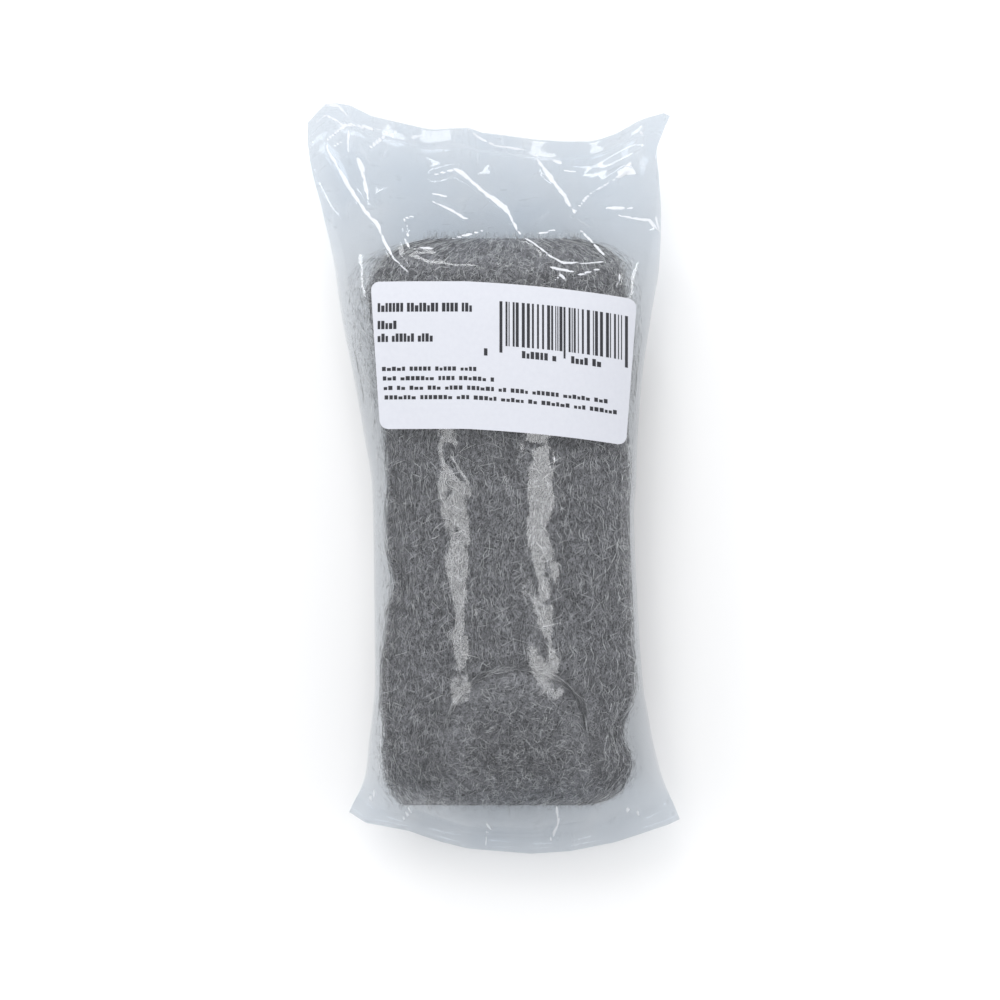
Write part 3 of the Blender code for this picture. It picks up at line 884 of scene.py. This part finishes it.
def make_film():
    upper_rows, lower_rows, sides, front_sides = 108, 78, 208, 168
    rows = upper_rows + lower_rows
    # The mesh is finest over the front of the upper end, where the sharpest folds are.
    places = np.concatenate(
        [
            np.linspace(BAG.places[0], FINE_FROM, lower_rows, endpoint=False),
            np.linspace(FINE_FROM, BAG.places[-1], upper_rows),
        ]
    )
    even_steps = 4000
    share = np.concatenate(
        [
            np.linspace(0.0, 0.5, front_sides, endpoint=False),
            np.linspace(0.5, 1.0, sides - front_sides, endpoint=False),
        ]
    )
    angles = np.interp(share, np.arange(even_steps) / even_steps, BAG.even_angles(even_steps))
    grid_angle, grid_place = np.meshgrid(angles, places)
    base = BAG.point(grid_angle, grid_place)
    out = BAG.point(grid_angle, grid_place, -1.0) - base
    out /= np.linalg.norm(out, axis=2, keepdims=True) + 1e-9
    front = np.sin(grid_angle) > 0
    relief, fold, crinkle, shade = film_relief(base[..., 0], base[..., 1], front)
    thick = BAG.column(4, grid_place)
    free = smooth_step(FLAT, 3.0, thick)
    edge = smooth_step(0.0, 0.35, np.abs(np.sin(grid_angle)))
    under_label = label_cover(base[..., 0], base[..., 1]) * front
    relief = relief * free * edge * (1 - under_label)
    resting = (base[..., 2] < 1.0) & ~front
    relief = np.where(resting, 0.0, relief)
    # The loose hems above and below the seals wave together, front and back alike.
    hem = (1 - free) * 0.8 * swell(base[..., 0], base[..., 1] * 0.3, 38.0, 41)
    points = base + out * relief[..., None]
    points[..., 2] += hem
    to_cut_edges(points, grid_place)
    points[..., 2] = np.maximum(points[..., 2], FLOOR_ROOM)
    seal = np.clip(1 - np.abs(grid_place - SEAL_PLACE) / SEAL_HALF_WIDTH, 0, 1)
    film = new_object("film_bag_clear", points, ring_faces(rows, sides))
    # The fold and crinkle bands are partly the film's stress-whitening and partly painted highlight;
    # the seal line joined to the crinkles is real, and the facet shade is painted shade.
    marks = {
        "fold": fold * (1 - under_label),
        "crinkle": np.maximum(crinkle, seal) * (1 - under_label),
        "shade": shade,
    }
    for name, values in marks.items():
        mark = film.data.attributes.new(name, "FLOAT", "POINT")
        mark.data.foreach_set("value", values.astype(np.float32).ravel())
    turn_outwards(film)
    clear_selection()
    film.select_set(True)
    bpy.context.view_layer.objects.active = film
    wall = film.modifiers.new("wall", "SOLIDIFY")
    wall.thickness = FILM_WALL * MM
    wall.offset = -1
    bpy.ops.object.modifier_apply(modifier="wall")
    film.data.materials.append(clear_film())
    keep(film, "clear_film", "film_bag")


# ---------------------------------------------------------------- the label

LABEL_EDGE_LOW, LABEL_EDGE_HIGH = 17.6, 70.6
LABEL_EDGE_LEFT, LABEL_LEFT_LEAN = -44.1, 3.4
LABEL_EDGE_RIGHT, LABEL_RIGHT_LEAN = 51.3, 4.0
LABEL_CORNER = 3.2
DROOP_START, DROOP_RATE, DROOP_CURVE = -10.0, 0.05, 0.0009
# How far the paper's and the ink's undersides and faces stand off the film.
PAPER_LIFTS = (0.05, 0.25)
INK_LIFTS = (0.255, 0.285)


def label_droop(x):
    """How far the label's rows fall towards its right side, where it was stuck on unevenly."""
    past = np.maximum(x - DROOP_START, 0.0)
    return DROOP_RATE * past + DROOP_CURVE * past**2


def label_sides(up):
    """The label's left and right edges at this height: it narrows a little downwards."""
    short = 1 - up / (LABEL_EDGE_HIGH - LABEL_EDGE_LOW)
    return LABEL_EDGE_LEFT + LABEL_LEFT_LEAN * short, LABEL_EDGE_RIGHT - LABEL_RIGHT_LEAN * short


def label_cover(x, y):
    """1 where the label presses the film flat, falling to 0 just outside it."""
    level = y + label_droop(x)
    inside = np.minimum(
        np.minimum(level - LABEL_EDGE_LOW, LABEL_EDGE_HIGH - level),
        np.minimum(x - LABEL_EDGE_LEFT, LABEL_EDGE_RIGHT - x),
    )
    return smooth_step(-5.0, 0.0, inside)


def on_label(x, up, lift):
    """A point over the bag's front: x across, `up` along the label from its lower edge."""
    x, up = np.broadcast_arrays(np.asarray(x, float), np.asarray(up, float))
    y = LABEL_EDGE_LOW + up - label_droop(x)
    left, right = BAG.column(1, y + 3.0), BAG.column(2, y + 3.0)
    across = np.clip((x - (left + right) / 2) / ((right - left) / 2), -1, 1)
    place = y - BAG.column(7, y + 3.0) * (1 - across * across)
    left, right = BAG.column(1, place), BAG.column(2, place)
    across = np.clip((x - (left + right) / 2) / ((right - left) / 2), -1, 1)
    cosine = np.sign(across) * np.abs(across) ** (BAG.column(6, place) / 2)
    return BAG.point(np.arccos(cosine), place, -lift)


def make_label():
    height = LABEL_EDGE_HIGH - LABEL_EDGE_LOW
    corner_steps = 8
    turn = np.linspace(0, math.pi / 2, corner_steps)
    near = LABEL_CORNER * (1 - np.cos(turn))
    between = np.linspace(LABEL_CORNER, height - LABEL_CORNER, 26)[1:-1]
    ups = np.concatenate([near, between, height - near[::-1]])
    columns = 60
    layers = []
    for lift in PAPER_LIFTS:
        rows = []
        for up in ups:
            short = max(LABEL_CORNER - min(up, height - up), 0.0)
            inset = LABEL_CORNER - math.sqrt(max(LABEL_CORNER**2 - short**2, 0.0))
            left, right = label_sides(up)
            x = np.linspace(left + inset, right - inset, columns)
            rows.append(on_label(x, up, lift))
        layers.append(np.array(rows))
    count = len(ups) * columns
    faces = []
    for row in range(len(ups) - 1):
        for i in range(columns - 1):
            a = row * columns + i
            faces.append((a + columns, a + columns + 1, a + 1, a))
            a += count
            faces.append((a, a + 1, a + columns + 1, a + columns))
    for first, second in rim_pairs(columns, len(ups)):
        faces.append((first, second, second + count, first + count))
    label = new_object("label_sticker", np.concatenate(layers), faces)
    turn_outwards(label)
    label.data.set_sharp_from_angle(angle=math.radians(50))
    label.data.materials.append(label_paper())
    keep(label, "label_paper", "label")


def printed_block(points, faces, left, right, low, high):
    """A closed thin patch of ink on the label, from left to right and low to high."""
    across = np.linspace(left, right, max(2, int((right - left) / 1.5) + 2))
    ups = np.linspace(low, high, max(2, int((high - low) / 2.5) + 2))
    n, rows = len(across), len(ups)
    start = len(points)
    for lift in INK_LIFTS:
        for up in ups:
            points.extend(on_label(across, up, lift).tolist())
    layer = n * rows
    for row in range(rows - 1):
        for i in range(n - 1):
            a = start + row * n + i
            faces.append((a + n, a + n + 1, a + 1, a))
            a += layer
            faces.append((a, a + 1, a + n + 1, a + n))
    for first, second in rim_pairs(n, rows, start):
        faces.append((first, second, second + layer, first + layer))


def rim_pairs(columns, rows, start=0):
    """Neighbouring points round the edge of a grid, as pairs in order."""
    rim = list(range(columns))
    rim += [row * columns + columns - 1 for row in range(1, rows - 1)]
    rim += [(rows - 1) * columns + i for i in reversed(range(columns))]
    rim += [row * columns for row in reversed(range(1, rows - 1))]
    rim = [start + i for i in rim]
    return list(zip(rim, rim[1:] + rim[:1]))


def greeked_line(draw, blocks, left, right, up, tall, wide):
    """A line of plain blocks in word-like groups, with no lettering."""
    x = left
    while x < right - wide:
        for _ in range(int(draw.integers(2, 9))):
            if x > right - wide:
                break
            block = wide * draw.uniform(0.7, 1.1)
            blocks.append((x, x + block, up, up + tall * draw.choice([1.0, 1.0, 0.72])))
            x += block + 0.32 * wide
        x += 0.9 * wide


def make_print():
    """Generic print: greeked lines, a plain block of bars and greeked lines under it."""
    draw = np.random.default_rng(3)
    blocks = []
    left = LABEL_EDGE_LEFT + 2.6
    for up, right, tall in ((42.0, -6.5, 3.2), (35.8, -33.5, 3.0), (31.2, -21.5, 3.0)):
        greeked_line(draw, blocks, left, right, up, tall, 1.15)
    x = 2.0
    while x < 48.0:
        bar = draw.choice([0.35, 0.7, 1.05])
        foot = 28.0 if x < 4.0 or x > 46.0 or 24.0 < x < 26.0 else 30.5
        blocks.append((x, x + bar, foot, 46.5))
        x += bar + draw.choice([0.4, 0.75, 1.1])
    for start, end in ((-3.5, -1.5), (10.0, 23.5), (27.5, 41.0)):
        greeked_line(draw, blocks, start, end, 26.6, 2.6, 1.35)
    for row, right in enumerate((-4.0, 1.5, 41.0, 44.0)):
        greeked_line(draw, blocks, left + 1.6 + 0.3 * row, right, 20.8 - 3.4 * row, 1.5, 1.35)
    points, faces = [], []
    for block in blocks:
        printed_block(points, faces, *block)
    ink = new_object("label_print", points, faces, smooth=False)
    turn_outwards(ink)
    ink.data.materials.append(label_ink())
    keep(ink, "label_paper")


# ---------------------------------------------------------------- studio


def area_light(name, place, aim, width, length, power, shape="RECTANGLE"):
    """A softbox at `place` facing `aim`, its length in line with the pack's."""
    light = bpy.data.lights.new(name, "AREA")
    light.shape = shape
    light.size, light.size_y = width, length
    light.energy = power
    made = bpy.data.objects.new(name, light)
    bpy.context.scene.collection.objects.link(made)
    away = (Vector(place) - Vector(aim)).normalized()
    across = Vector((0, 1, 0)).cross(away).normalized()
    along = away.cross(across)
    made.location = place
    made.rotation_euler = Matrix((across, along, away)).transposed().to_euler()
    made.visible_camera = False
    return made


def make_studio():
    clear_selection()
    bpy.ops.mesh.primitive_plane_add(size=4.0, location=(0, 0, -0.0002))
    floor = bpy.context.object
    floor.name = "studio_floor"
    material, tree = new_material("studio_floor_paint")
    principled(tree, (), Base_Color=linear("#FAFAFA"), Roughness=0.8)
    floor.data.materials.append(material)
    world = bpy.data.worlds.new("studio")
    bpy.context.scene.world = world
    world.use_nodes = True
    world.node_tree.nodes["Background"].inputs["Color"].default_value = linear("#F4F5F7")
    world.node_tree.nodes["Background"].inputs["Strength"].default_value = 0.7
    middle = (0.0, 0.0, 0.03)
    area_light("head_glint", (-0.2, 0.95, 0.6), middle, 0.3, 0.07, 0.45)
    area_light("left_glint", (-1.0, 0.5, 0.6), middle, 0.08, 0.3, 0.6)
    area_light("right_glint", (1.0, 0.4, 0.5), middle, 0.08, 0.3, 0.6)
    # Two narrow softboxes overhead give the pair of long reflections down the taut film.
    area_light("left_strip", (-0.28, -0.06, 1.15), middle, 0.2, 0.2, 0.42, "ELLIPSE")
    area_light("right_strip", (0.2, 0.0, 1.15), middle, 0.22, 0.24, 0.62, "ELLIPSE")
    fills = (
        ("head_softbox", (-0.2, 0.9, 0.85), 5.8),
        ("left_softbox", (-1.0, 0.1, 0.6), 4.4),
        ("right_softbox", (1.0, 0.1, 0.6), 3.6),
    )
    for name, place, power in fills:
        fill = area_light(name, place, middle, 0.6, 0.8, power)
        fill.visible_glossy = False


def make_camera():
    data = bpy.data.cameras.new("camera")
    data.lens = 135.0
    data.sensor_width = 36.0
    frame_width = 0.3636
    camera = bpy.data.objects.new("camera", data)
    bpy.context.scene.collection.objects.link(camera)
    distance = frame_width * data.lens / data.sensor_width
    camera.location = (0.0022, -0.0078, 0.025 + distance)
    bpy.context.scene.camera = camera


def main():
    bpy.context.scene.view_settings.view_transform = "Standard"
    # A look through the pack crosses many film walls, and each counts as a bounce.
    bpy.context.scene.cycles.transparent_max_bounces = 32
    make_camera()
    make_core()
    make_fibres()
    make_film()
    make_label()
    make_print()
    make_studio()


main()
